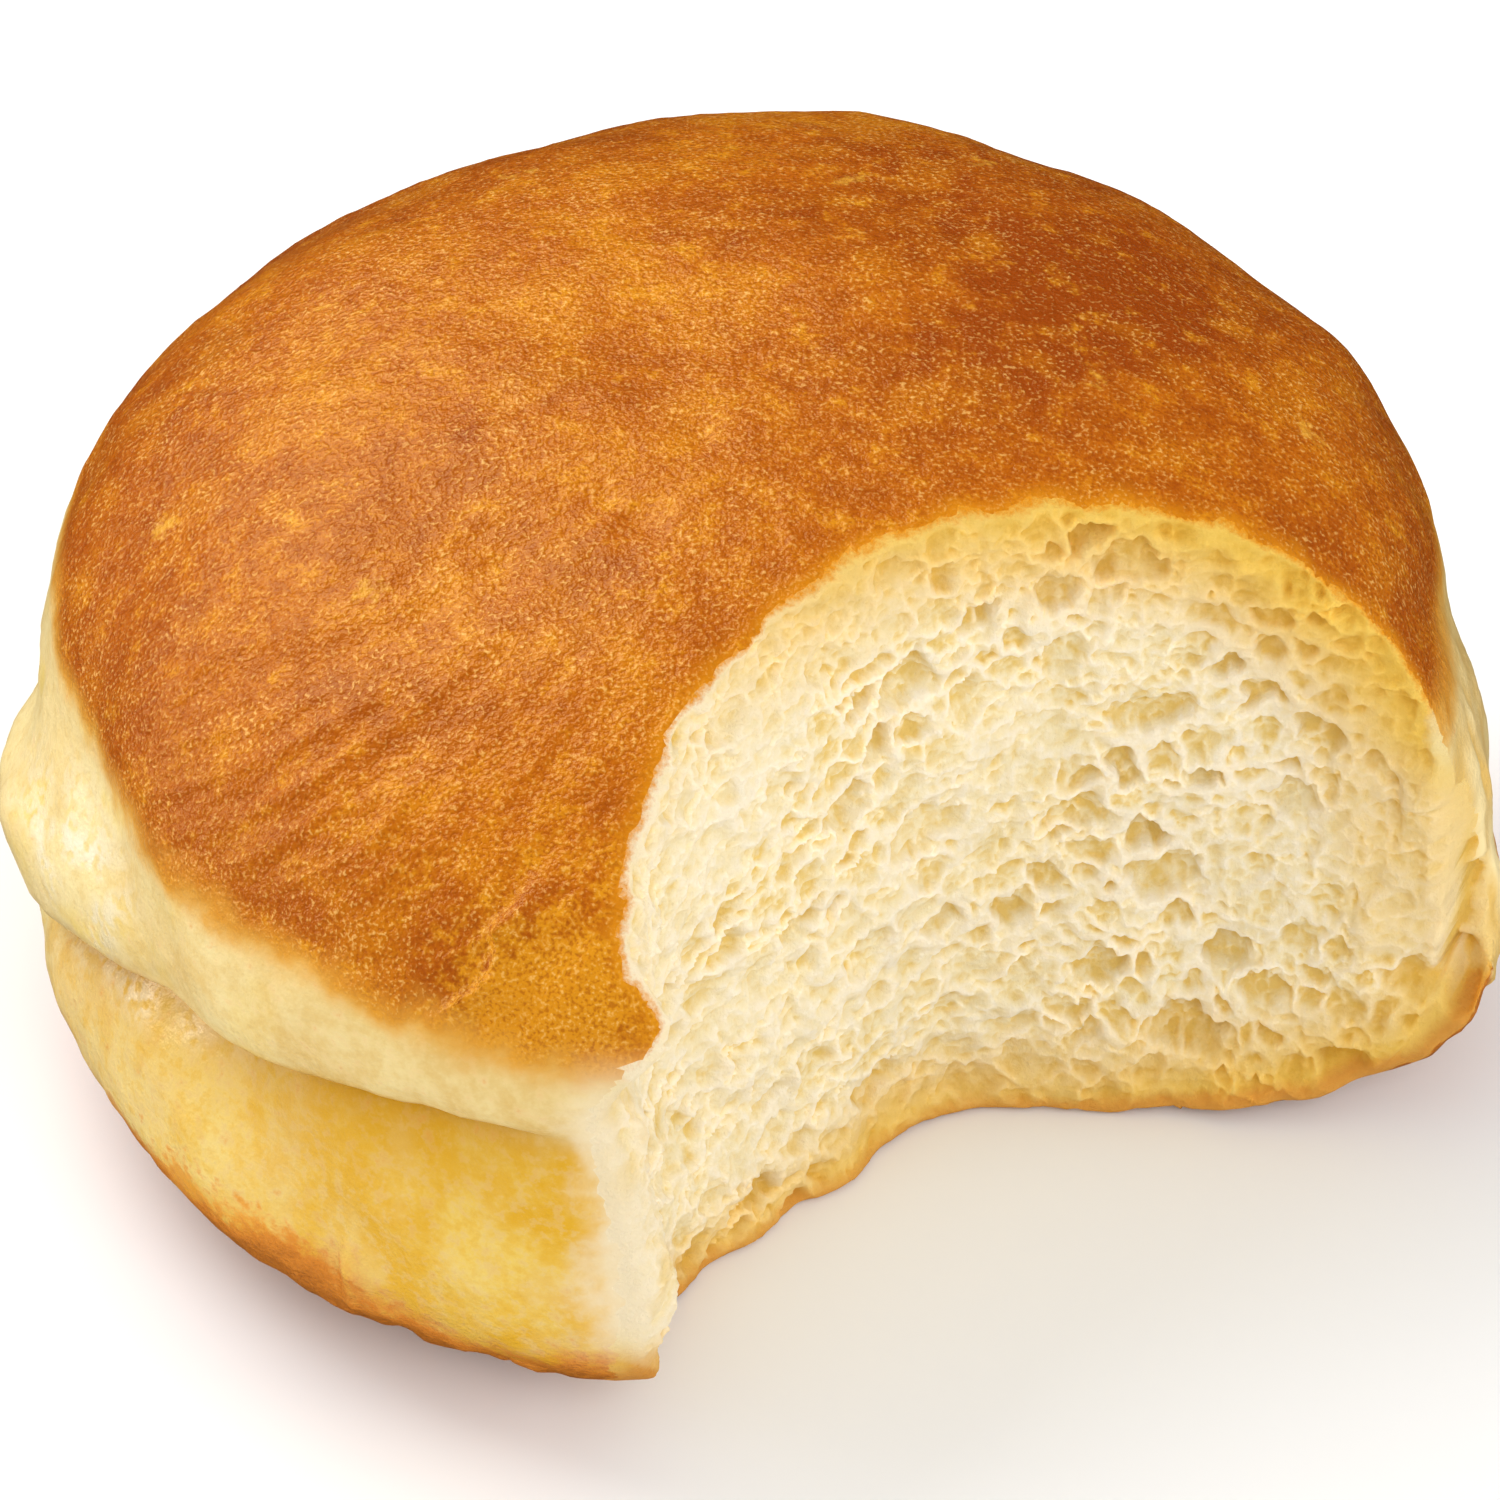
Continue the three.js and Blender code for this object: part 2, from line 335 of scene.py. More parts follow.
# Cells strewn between those of the solid: how many are tried, the largest, the smallest and the seed.
MIDDLING_CELLS = (2600, 1.6, 0.52, 5)
SMALL_CELLS = (6000, 0.55, 0.24, 6)
STREWN_STRETCH = 1.9
STREWN_LEAN = 0.65
STREWN_DEPTH = 0.2
STREWN_NEAREST = 0.85
FAR_OFF = 4.0
# How far the walls of the cells wander: reach, size, seed.
CELL_WOBBLE = [(0.46, 1.7, 31), (0.24, 0.7, 41), (0.09, 0.35, 71)]

# The torn strip at the right end of the wall and the soft lip at its left end: the angles over which they set
# in, and the heights over which they end.
STRIP_END = (math.radians(64), math.radians(82))
STRIP_LOW = 12.0
STRIP_TOP = (25, 30)
STRIP_REACH = (6, 9)
HANGING_END = (math.radians(66), math.radians(84))
HANGING_LOW = 9.5
HANGING_TOP = (24, 30)
LEFT_END = (181, 12)
LIP_END = (math.radians(158), math.radians(172))
LIP_TOP = (26, 36)
# Steps of the left end of the wall: depth, level, spread up it.
LEFT_STEPS = [(1.8, 27.5, 3.5), (-1.8, 34, 3.0), (1.7, 7.5, 3.5)]
# How wide the rim is rounded: everywhere, at the lip, and at the strip with its ragged edge.
RIM_ROUND = 0.4
LIP_ROUND = 4.0
STRIP_ROUND = 3.5
STRIP_RAGGED = 1.3


def bite_radius(angle, height):
    """How far the wall of the bite lies from its middle, with the marks of the teeth."""
    low = 1 - eased(0, LOWER_TEETH_REACH, height)
    radius = BITE_RADIUS
    for deep, centre, width in UPPER_TEETH:
        radius = radius + deep * lobe(angle, centre, width)
    for deep, centre, width in LOWER_TEETH:
        radius = radius + low * deep * lobe(angle, centre, width)
    return radius


def on_wall(angle, height, deep):
    """A point at a depth behind the wall of the bite."""
    reach = bite_radius(angle, height) + deep
    return np.stack([BITE_X + reach * np.cos(angle), BITE_Y + reach * np.sin(angle), height], axis=-1)


def depth_in_loaf(points):
    """How much dough lies between a point and the outside of the loaf."""
    radius = np.hypot(points[..., 0], points[..., 1])
    height = np.clip(points[..., 2], 0, LOAF_HEIGHT)
    above = height > BELT_HEIGHT
    power = np.where(above, DOME_POWER, BASE_POWER)
    reach = np.where(above, LOAF_HEIGHT - BELT_HEIGHT, BELT_HEIGHT)
    level = np.abs(height - BELT_HEIGHT) / reach
    out = np.minimum(radius / LOAF_RADIUS, 1)
    swelled = relief(np.arctan2(points[..., 1], points[..., 0]), height)
    sideways = LOAF_RADIUS * (1 - level ** power) ** (1 / power) + swelled - radius
    upright = reach * (1 - out ** power) ** (1 / power) - np.abs(height - BELT_HEIGHT)
    return np.minimum(sideways, upright)


def cell_lean(angle):
    """How far the cells lean over, from one end of the wall to the other."""
    part = (np.degrees(angle) - CELL_FIRST_ANGLE) / (CELL_LAST_ANGLE - CELL_FIRST_ANGLE)
    return np.radians(CELL_LEAN_RIGHT + part * (CELL_LEAN_LEFT - CELL_LEAN_RIGHT))


def large_cells():
    """The cells set out in the solid: place along the wall, height, half width, stretch, lean and depth."""
    order = np.arange(CELL_COUNT)
    part = (0.5 + order * CELL_STEP_ROUND) % 1
    angle = np.radians(CELL_FIRST_ANGLE + part * (CELL_LAST_ANGLE - CELL_FIRST_ANGLE))
    height = CELL_LOWEST + (0.5 + order * CELL_STEP_UP) % 1 * (CELL_HIGHEST - CELL_LOWEST)
    half = CELL_LARGE * (CELL_SMALL / CELL_LARGE) ** (order / CELL_COUNT)
    stretch = np.full(CELL_COUNT, math.sqrt(CELL_STRETCH))
    return np.stack([angle * BITE_RADIUS, height, 0.8 * half, stretch, cell_lean(angle), 0.6 * half], axis=1)


def strewn_cells(tries, largest, smallest, seed, taken):
    """Cells strewn over the wall, the largest first, where they don't lie on one that is taken."""
    draw = np.random.default_rng(seed)
    x = draw.uniform(WALL_FIRST, WALL_LAST, tries) * BITE_RADIUS
    y = draw.uniform(WALL_LOW, WALL_HIGH, tries)
    half = largest * (smallest / largest) ** (np.arange(tries) / tries)
    stretch = np.sqrt(draw.uniform(1.0, STREWN_STRETCH, tries))
    lean = cell_lean(x / BITE_RADIUS) + draw.normal(0, STREWN_LEAN, tries)
    deep = half * (STREWN_DEPTH + draw.uniform(0, 1, tries) ** 2)
    cells = np.stack([x, y, half, stretch, lean, deep], axis=1)
    places = np.concatenate([taken[:, :3], np.zeros((tries, 3))])
    count = len(taken)
    kept = []
    for cell in cells:
        apart = np.hypot(places[:count, 0] - cell[0], places[:count, 1] - cell[1])
        if (apart > STREWN_NEAREST * (places[:count, 2] + cell[2])).all():
            places[count] = cell[:3]
            count += 1
            kept.append(cell)
    return np.array(kept)


def foam(across, up, cells, thick):
    """How deep cells lie open between walls of a thickness, how far down one it is, and the walls."""
    nearest = np.full(across.shape, FAR_OFF)
    second = np.full(across.shape, FAR_OFF)
    depth = np.zeros(across.shape)
    for x, y, half, stretch, lean, deep in cells:
        reach = 2 * half * stretch + 0.6
        left, right = np.searchsorted(across[:, 0], (x - reach, x + reach))
        low, high = np.searchsorted(up[0], (y - reach, y + reach))
        block = (slice(left, right), slice(low, high))
        off_x, off_y = across[block] - x, up[block] - y
        along = (math.cos(lean) * off_x + math.sin(lean) * off_y) / stretch
        beside = (math.cos(lean) * off_y - math.sin(lean) * off_x) * stretch
        far = np.hypot(along, beside) / half
        closer = far < nearest[block]
        second[block] = np.where(closer, nearest[block], np.minimum(second[block], far))
        depth[block] = np.where(closer, deep, depth[block])
        nearest[block] = np.where(closer, far, nearest[block])
    web = second - nearest
    hollow = eased(0.0, 0.5, web - thick) * (0.3 + 0.7 * np.clip(1 - nearest ** 2, 0, 1) ** 0.6)
    return depth * hollow, hollow, bell(web, 0, 0.3)


def torn_foam(across, rise, left_end, bumps):
    """How deep the cells of the torn crumb are over the wall, and how far down a cell that is."""
    wobble = [across, rise]
    for k in range(2):
        for reach, size, seed in CELL_WOBBLE:
            wobble[k] = wobble[k] + reach * bumps(size, seed + k)
    wobble[1] = wobble[1] + 0.26 * bumps(1, 73, wide=0.45, tall=1.8)
    large = large_cells()
    middling = strewn_cells(*MIDDLING_CELLS, large)
    small = strewn_cells(*SMALL_CELLS, middling)
    calm = (0.45 + 0.55 * eased(-0.35, 0.35, bumps(9, 53))) * (1 - 0.5 * left_end)
    thick = 0.55 * eased(-0.3, 0.5, bumps(2.8, 62)) + 0.14 * bumps(0.8, 63)
    depth, pit, web = foam(*wobble, np.concatenate([large, middling]), thick)
    finer, hole, finer_web = foam(*wobble, small, 0.0)
    tatter = eased(-0.3, 0.6, bumps(1.3, 59))
    depth = depth * calm + 0.75 * finer - 0.12 * web * tatter - 0.04 * finer_web
    return depth, pit * calm * 0.85 + 0.45 * hole


def torn_wall():
    """Places round and up the wall, how deep the torn crumb lies at each, and how far down a cell that is."""
    around = np.arange(WALL_FIRST * BITE_RADIUS, WALL_LAST * BITE_RADIUS, WALL_STEP)
    up = np.arange(WALL_LOW, WALL_HIGH, WALL_STEP)
    across, rise = np.meshgrid(around, up, indexing="ij")
    turn = across / BITE_RADIUS
    flat = np.stack([across.ravel(), rise.ravel(), 0 * rise.ravel()], axis=1)

    def bumps(size, seed, wide=1, tall=1):
        return lumps(flat * (1 / wide, 1 / tall, 1), size, seed).reshape(across.shape)

    left_end = lobe(turn, *LEFT_END)
    depth, pit = torn_foam(across, rise, left_end, bumps)
    fibrous = 1 - eased(*STRIP_END, turn)
    fibres = bumps(1, 54, wide=0.8, tall=5)
    shreds = 0.25 * (1 - np.abs(bumps(1.9, 57))) ** 4 + 0.14 * (1 - np.abs(bumps(0.85, 58))) ** 4
    fluff = 0.10 * bumps(0.6, 55) + 0.06 * bumps(0.33, 56) - shreds
    depth = depth * (1 - 0.4 * fibrous) + 0.4 * fibrous * fibres
    hanging = bumps(1, 75, wide=0.9, tall=6)
    right_end = (1 - eased(*HANGING_END, turn)) * (1 - eased(*HANGING_TOP, rise))
    right_end = right_end * eased(0, 1.6, rise - HANGING_LOW - 2.4 * hanging)

    inner = depth_in_loaf(on_wall(turn, rise, 0))
    kept = eased(-0.3, 0.9, inner + 2 * right_end)
    face = 0.55 * bumps(5, 51) + 0.26 * bumps(2.2, 52) - 0.55
    face = face + 0.5 * bumps(2.6, 60) * bell(inner, 0, 2) - 0.7 * bell(rise, 0.2, 0.8)
    depth = (depth + fluff) * kept + face
    depth = depth + left_end * sum(deep * bell(rise, level, spread) for deep, level, spread in LEFT_STEPS)
    turned = lobe(turn, 160, 9) - lobe(turn, 179, 8)
    depth = depth + 0.8 * turned * bell(rise, 17, 10)

    lip = eased(*LIP_END, turn) * (1 - eased(*LIP_TOP, rise))
    ragged = bumps(1, 76, wide=4, tall=1.1)
    rounding = RIM_ROUND + LIP_ROUND * lip + right_end * (STRIP_ROUND + STRIP_RAGGED * ragged)
    part = np.clip(1 - inner / rounding, 0, 1)
    depth = depth * (1 - 0.5 * lip * part) + rounding * (1 - np.sqrt(1 - part ** 2))
    return around, up, depth, pit * kept * (1 - 0.5 * lip * part)


def wall_place(points):
    """The angle of each point about the middle of the bite."""
    return np.arctan2(points[:, 1] - BITE_Y, points[:, 0] - BITE_X) % (2 * np.pi)


def torn_strip(points):
    """Where the skin is torn off beside the right end of the bite, its strands and how far they stand out."""
    place = wall_place(points)
    height = points[:, 2]
    behind = np.hypot(points[:, 0] - BITE_X, points[:, 1] - BITE_Y) - bite_radius(place, height)
    tall = points * (1, 1, 0.4)
    strands = lumps(points * (1, 1, 0.12), 1.0, 68)
    above = height - (STRIP_LOW + 2.8 * strands + 1.4 * lumps(points, 5, 69))
    torn = (1 - eased(*STRIP_END, place)) * eased(-0.4, 0.4, above)
    torn = torn * (1 - eased(*STRIP_TOP, height)) * (1 - eased(*STRIP_REACH, behind + lumps(tall, 1.6, 77)))
    ragged = 0.15 + 0.25 * strands + 0.25 * lumps(tall, 0.9, 74)
    return torn, strands, torn * (ragged + 0.4 * np.exp(-np.maximum(above, 0) / 4))


def move(piece, points):
    """Puts a piece's points in new places."""
    piece.data.vertices.foreach_set("co", ((points + AXIS) * MM).ravel())
    piece.data.update()


def mouthful(around, up, depth):
    """The mouthful that is gone, as a closed body: its torn wall, fanned in to the front of the mouth."""
    across, rise = np.meshgrid(around, up, indexing="ij")
    wall = on_wall(across / BITE_RADIUS, rise + CELL_DROOP * np.maximum(depth, 0), depth).reshape(-1, 3)
    front = [(*MOUTH_FRONT, WALL_LOW), (*MOUTH_FRONT, WALL_HIGH)]
    under, over = len(wall), len(wall) + 1
    index = np.arange(len(wall)).reshape(across.shape)
    corners = (index[:-1, :-1], index[1:, :-1], index[1:, 1:], index[:-1, 1:])
    faces = np.stack(corners, axis=-1).reshape(-1, 4).tolist()
    fans = [(index[0], under), (index[-1, ::-1], under), (index[::-1, 0], under), (index[:, -1], over)]
    for edge, middle in fans:
        faces += [(first, second, middle) for first, second in zip(edge[:-1].tolist(), edge[1:].tolist())]
    faces += [(int(index[0, -1]), over, under), (int(index[-1, -1]), under, over)]
    return solid("mouthful", np.concatenate([wall, front]), faces)


def cut(piece, cutter):
    """Cuts a closed body out of a piece, and removes the body."""
    bite = piece.modifiers.new("bite", "BOOLEAN")
    bite.operation = "DIFFERENCE"
    bite.solver = "MANIFOLD"
    bite.material_mode = "TRANSFER"
    bite.object = cutter
    bpy.context.view_layer.objects.active = piece
    bpy.ops.object.modifier_apply(modifier=bite.name)
    bpy.data.objects.remove(cutter)


def edge_ends(mesh):
    """The points at the two ends of each edge of a mesh."""
    ends = np.empty(len(mesh.edges) * 2, dtype=np.int32)
    mesh.edges.foreach_get("vertices", ends)
    return ends.reshape(-1, 2).T


def main_part(piece):
    """Drops every scrap of a mesh that isn't joined to its main part."""
    first, second = edge_ends(piece.data)
    group = np.arange(len(piece.data.vertices))
    while not np.array_equal(group[first], group[second]):
        lower = np.minimum(group[first], group[second])
        np.minimum.at(group, first, lower)
        np.minimum.at(group, second, lower)
        group = group[group]
    loose = np.flatnonzero(group != np.bincount(group).argmax())
    maker = bmesh.new()
    maker.from_mesh(piece.data)
    maker.verts.ensure_lookup_table()
    bmesh.ops.delete(maker, geom=[maker.verts[k] for k in loose], context="VERTS")
    maker.to_mesh(piece.data)
    maker.free()


def thinned(piece, most):
    """Takes triangles away where the surface is flattest, down to a number of them."""
    sides = np.empty(len(piece.data.polygons), dtype=np.int32)
    piece.data.polygons.foreach_get("loop_total", sides)
    fewer = piece.modifiers.new("fewer", "DECIMATE")
    fewer.ratio = min(1, most / (sides - 2).sum())
    bpy.context.view_layer.objects.active = piece
    bpy.ops.object.modifier_apply(modifier=fewer.name)


MOST_TRIANGLES = 196000
crust_finish = bpy.data.materials.new("fried_crust")
crumb_finish = bpy.data.materials.new("torn_crumb")
doughnut.data.materials.append(crust_finish)
loaf_surface = loaf_surface + outward(loaf_surface, loaf_triangles) * torn_strip(loaf_surface)[2][:, None]
move(doughnut, loaf_surface)
wall_around, wall_up, wall_depth, wall_pit = torn_wall()
cutter = mouthful(wall_around, wall_up, wall_depth)
cutter.data.materials.append(crumb_finish)
cut(doughnut, cutter)
main_part(doughnut)
thinned(doughnut, MOST_TRIANGLES)
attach(doughnut, "root")
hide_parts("doughnut")

# The surface: what the frying and the tearing left at each point of it, stored there for the two finishes.
# It says how far a point lies above the edge of the browned dome, how near the browned foot, how deep in
# the fold and in a cell of the crumb (both set painted shade), how far under the skin, and where the skin is
# scorched, wet (with painted highlights) or torn off.


def surface(piece, kind):
    """A piece's points or the directions they face."""
    values = np.empty(len(piece.data.vertices) * 3)
    if kind == "points":
        piece.data.vertices.foreach_get("co", values)
        return values.reshape(-1, 3) / MM - AXIS
    piece.data.vertex_normals.foreach_get("vector", values)
    return values.reshape(-1, 3)


def relaxed(piece, weight, rounds):
    """A piece's points drawn towards the middle of their neighbours, by a weight, a number of times."""
    points = surface(piece, "points")
    first, second = edge_ends(piece.data)
    count = np.bincount(first, minlength=len(points)) + np.bincount(second, minlength=len(points))
    for _ in range(rounds):
        for k in range(3):
            total = np.bincount(first, points[second, k], len(points))
            total += np.bincount(second, points[first, k], len(points))
            points[:, k] += weight * (total / count - points[:, k])
    return points


def rim_distance(piece):
    """How far each point lies from the rim, where the skin meets the crumb."""
    mesh = piece.data
    corners = np.empty(len(mesh.loops), dtype=np.int32)
    mesh.loops.foreach_get("vertex_index", corners)
    sides = np.empty(len(mesh.polygons), dtype=np.int32)
    mesh.polygons.foreach_get("loop_total", sides)
    finish = np.empty(len(mesh.polygons), dtype=np.int32)
    mesh.polygons.foreach_get("material_index", finish)
    finish = np.repeat(finish, sides)
    touched = [np.bincount(corners[finish == k], minlength=len(mesh.vertices)) > 0 for k in (0, 1)]
    points = surface(piece, "points")
    rim = points[touched[0] & touched[1]]
    tree = KDTree(len(rim))
    for k, point in enumerate(rim):
        tree.insert(point, k)
    tree.balance()
    return np.array([tree.find(point)[2] for point in points])


def paint(piece, name, values):
    """Stores a value at each point of a piece, for its finish to read."""
    layer = piece.data.attributes.new(name, "FLOAT", "POINT")
    layer.data.foreach_set("value", np.asarray(values, dtype=np.float32))


def looked_up(table, first_axis, first, second_axis, second):
    """Values of a table between its rows and columns."""
    step = first_axis[1] - first_axis[0]
    i = np.clip((first - first_axis[0]) / step, 0, len(first_axis) - 1.001)
    j = np.clip((second - second_axis[0]) / step, 0, len(second_axis) - 1.001)
    a, b = i.astype(int), j.astype(int)
    p, q = i - a, j - b
    near = table[a, b] * (1 - q) + table[a, b + 1] * q
    far = table[a + 1, b] * (1 - q) + table[a + 1, b + 1] * q
    return near * (1 - p) + far * p


def clouds(points, size, seed, octaves=3):
    """Cloudy values about 0.5, in lumps of a size and in finer ones."""
    return 0.5 + 0.26 * sum(lumps(points, size / 2 ** k, seed + k) / 2 ** k for k in range(octaves))


# The rim is soft: rounded all along the dome, and wide and slack at the left end.
SLACK_END = (math.radians(152), math.radians(170))
SLACK_TOP = (26, 34)
points = surface(doughnut, "points")
rim_far = rim_distance(doughnut)
left_lip = eased(*SLACK_END, wall_place(points)) * (1 - eased(*SLACK_TOP, points[:, 2]))
slack = left_lip * (1 - eased(0.4, 2.6, rim_far))
move(doughnut, relaxed(doughnut, 0.5 * slack, 40))
move(doughnut, relaxed(doughnut, 0.5 * (1 - eased(0.2, 0.9, rim_far)), 10))

points = surface(doughnut, "points")
angle = np.arctan2(points[:, 1], points[:, 0])
height = points[:, 2]
wall_angle = wall_place(points)
behind = np.hypot(points[:, 0] - BITE_X, points[:, 1] - BITE_Y) - bite_radius(wall_angle, height)

# The heights of the browned dome's edge and of the browned foot: their dips and rises, each with its angle
# and its width round the loaf, and their lumps.
BROWN_EDGE = 32.4
BROWN_DIPS = [(1.6, -10, 30), (1.4, -100, 12)]
BROWN_LUMPS = [(0.9, 6, 61, 1), (0.6, 2.0, 62, 1), (0.4, 0.9, 65, 1)]
FOOT_TOP = 7.0
FOOT_RISES = [(6, -6, 34), (3, -98, 10), (1.4, -135, 28)]
FOOT_TOP_LUMPS = [(2.4, 7, 63, 1), (1.4, 2.5, 64, 1)]
brown_edge = BROWN_EDGE
for dip, centre, width in BROWN_DIPS:
    brown_edge = brown_edge - dip * lobe(angle, centre, width)
paint(doughnut, "above_brown_edge", height - heaped(brown_edge, points, BROWN_LUMPS))
foot_top = FOOT_TOP
for rise, centre, width in FOOT_RISES:
    foot_top = foot_top + rise * lobe(angle, centre, width)
paint(doughnut, "foot", 1 - eased(-3.5, 3.0, height - heaped(foot_top, points, FOOT_TOP_LUMPS)))

# The fold and its painted shade, the pale left of the band with its wet places and their painted highlights,
# and the scorched places over the foot.
gap = fold_gap(angle, height + FOLD_HANG * fold_strength(angle) * 0.3)
below = lobe(angle, -135, 50) * (1 - eased(-2.5, 1.0, gap + 0.8 * lumps(points, 4, 66)))
paint(doughnut, "below_fold", eased(0.0, 0.5, below))
# Painted shade: how deep a point lies in the crease under the fold, for darkening it to ochre.
fold_shade = np.exp(-np.maximum(-gap, 0) / 4.5) * (1 - eased(-0.4, 0.9, gap))
paint(doughnut, "fold_shade", fold_shade * eased(0.2, 0.7, lobe(angle, -135, 34)))
paint(doughnut, "left", lobe(angle, -172, 34))
# The wet places get a real clear coat, and their colour is also painted near-white as highlights.
wet_and_highlight_places = lobe(angle, -158, 9) * bell(height, 24.5, 3.5) + 0.4 * lobe(angle, -150, 14) * bell(gap, -2, 1.2)
paint(doughnut, "wet_and_highlight", wet_and_highlight_places * eased(0.40, 0.56, clouds(points, 2.4, 91, 2)))
scorched = (lobe(angle, -141, 7) + lobe(angle, -130, 5)) * bell(height, 8.5, 3.5)
paint(doughnut, "scorched", scorched * (1 + 0.4 * lumps(points, 3, 67)))

# The dome: its golden corner beside the bite, its pale flecks and its darkest place.
FLECKS = [
    (-13.6, 22.8),
    (-25.1, 11),
    (6, 20.7),
    (13.8, 25.8),
    (19.7, 1.1),
    (32.7, 2.4),
    (-33.9, -4.5),
    (-21.4, -15.5),
]
FLECK_WIDTH = 1.3
DARKEST = (21, 14, 43)
DARK_WIDTH = 14
golden = lobe(angle, -105, 9) * bell(height, 34.5, 5)
paint(doughnut, "golden", golden + 0.6 * step_cover(points, angle, FLAKE, 5))
fleck = sum(bell(np.hypot(points[:, 0] - x, points[:, 1] - y), 0, FLECK_WIDTH) for x, y in FLECKS)
paint(doughnut, "fleck", fleck)
paint(doughnut, "darker", bell(np.linalg.norm(points - DARKEST, axis=1), 0, DARK_WIDTH))
paint(doughnut, "cloud", clouds(points, 8, 81))
paint(doughnut, "patchy", clouds(points, 3.5, 84))
paint(doughnut, "streak", clouds(points * (1, 1, 0.3), 1.1, 87, 2))

# The crumb: its cells and hollows, how far it lies under the skin and from the rim, the pale lip and the
# golden tip at the left end of the bite, and the torn strip at the right end.
PALE_LIP = (math.radians(150), math.radians(172))
PALE_LIP_TOP = (28, 34)
PALE_LEFT = (math.radians(128), math.radians(158))
YELLOW_RIGHT = (math.radians(75), math.radians(120))
wall_level = height - CELL_DROOP * np.maximum(behind, 0)
# The depth in a cell and how sunk each point lies below its neighbours: the crumb's finish turns both into
# painted shade.
paint(doughnut, "pit", looked_up(wall_pit, wall_around, wall_angle * BITE_RADIUS, wall_up, wall_level))
sunken = relaxed(doughnut, 0.5, 8) - points
paint(doughnut, "hollow", (sunken * surface(doughnut, "directions")).sum(axis=1))
whole = BVHTree.FromPolygons(loaf_surface.tolist(), loaf_triangles.tolist())
paint(doughnut, "under_skin", [whole.find_nearest(Vector(point))[3] for point in points])
paint(doughnut, "from_rim", rim_far)
lip = eased(*PALE_LIP, wall_angle) * (1 - eased(*PALE_LIP_TOP, height))
paint(doughnut, "lip", lip * eased(7, 13, height))
tip = lip * (1 - eased(5, 11, height))
paint(doughnut, "tip", tip)
paint(doughnut, "paler", eased(*PALE_LEFT, wall_angle) * eased(2, 8, height) * (1 - tip))
bared, streaks, _ = torn_strip(points)
paint(doughnut, "bared", bared)
paint(doughnut, "streaks", streaks)
paint(doughnut, "right_end", 1 - eased(*YELLOW_RIGHT, wall_angle))
doughnut.data.polygons.foreach_set("use_smooth", [True] * len(doughnut.data.polygons))

# The crust's finish: fried dough. The dome and the foot are a golden-brown skin with an oily grain of fine
# blisters, and the band between them is a soft, moist cream-yellow skin.


class Wire:
    """One output of a node. Sums and products of wires add the Math nodes that work them out."""

    def __init__(self, tree, socket=None):
        self.tree = tree
        self.socket = socket

    def node(self, kind, sockets, out=0, stops=(), **settings):
        """Adds a node: its settings and stops first, then its sockets' values or links. Gives one output."""
        node = self.tree.nodes.new(kind)
        for name, value in settings.items():
            setattr(node, name, value)
        for k, (place, shade) in enumerate(stops):
            marks = node.color_ramp.elements
            mark = marks[k] if k < 2 else marks.new(place)
            mark.position = place
            mark.color = shade
        for name, value in sockets.items():
            if isinstance(value, Wire):
                self.tree.links.new(value.socket, node.inputs[name])
            else:
                node.inputs[name].default_value = value
        return Wire(self.tree, node.outputs[out])

    def math(self, operation, *values):
        return self.node("ShaderNodeMath", dict(enumerate(values)), operation=operation)

    def __add__(self, other):
        return self.math("ADD", self, other)

    def __sub__(self, other):
        return self.math("SUBTRACT", self, other)

    def __rsub__(self, other):
        return self.math("SUBTRACT", other, self)

    def __mul__(self, other):
        return self.math("MULTIPLY", self, other)

    __radd__ = __add__
    __rmul__ = __mul__

    def between(self, low, high):
        """Eases from 0 at one value to 1 at another."""
        sockets = {"Value": self, "From Min": low, "From Max": high}
        return self.node("ShaderNodeMapRange", sockets, interpolation_type="SMOOTHSTEP")

    def tint(self, first, second):
        """A colour from the first, where this is 0, to the second, where it is 1."""
        return self.node("ShaderNodeMix", {0: self, 6: first, 7: second}, out=2, data_type="RGBA")

    def shades(self, low, high, *colours):
        """A run of colours, evenly spread from one value to another."""
        sockets = {"Value": self, "From Min": low, "From Max": high}
        part = self.node("ShaderNodeMapRange", sockets)
        stops = [(k / (len(colours) - 1), shade) for k, shade in enumerate(colours)]
        stops = [stops[0], stops[-1], *stops[1:-1]]
        return self.node("ShaderNodeValToRGB", {"Fac": part}, stops=stops)

    def stored(self, name):
        return self.node("ShaderNodeAttribute", {}, out="Fac", attribute_name=name)

    def grain(self, place, size, detail=2.0, roughness=0.5):
        """Cloudy noise from 0 to 1 in lumps of a size in millimetres."""
        sockets = {"Vector": place, "Scale": 1 / (size * MM), "Detail": detail, "Roughness": roughness}
        return self.node("ShaderNodeTexNoise", sockets)


def colour(red, green, blue):
    """A colour as seen, from 0 to 255, as the linear light that a shader takes."""
    seen = np.array([red, green, blue]) / 255
    light = np.where(seen < 0.04045, seen / 12.92, ((seen + 0.055) / 1.055) ** 2.4)
    return (*light, 1.0)


def finish_nodes(material):
    """Clears a material's nodes, and gives its shader, a wire to build on and the place on the piece."""
    material.use_nodes = True
    tree = material.node_tree
    tree.nodes.clear()
    end = tree.nodes.new("ShaderNodeOutputMaterial")
    shader = tree.nodes.new("ShaderNodeBsdfPrincipled")
    tree.links.new(shader.outputs[0], end.inputs["Surface"])
    wire = Wire(tree)
    return shader, wire, wire.node("ShaderNodeTexCoord", {}, out="Object")


def feed(shader, **values):
    """Links wires to a shader's sockets, or sets their values; _ stands for a space in a socket's name."""
    for name, value in values.items():
        socket = shader.inputs[name.replace("_", " ")]
        if isinstance(value, Wire):
            value.tree.links.new(value.socket, socket)
        else:
            socket.default_value = value


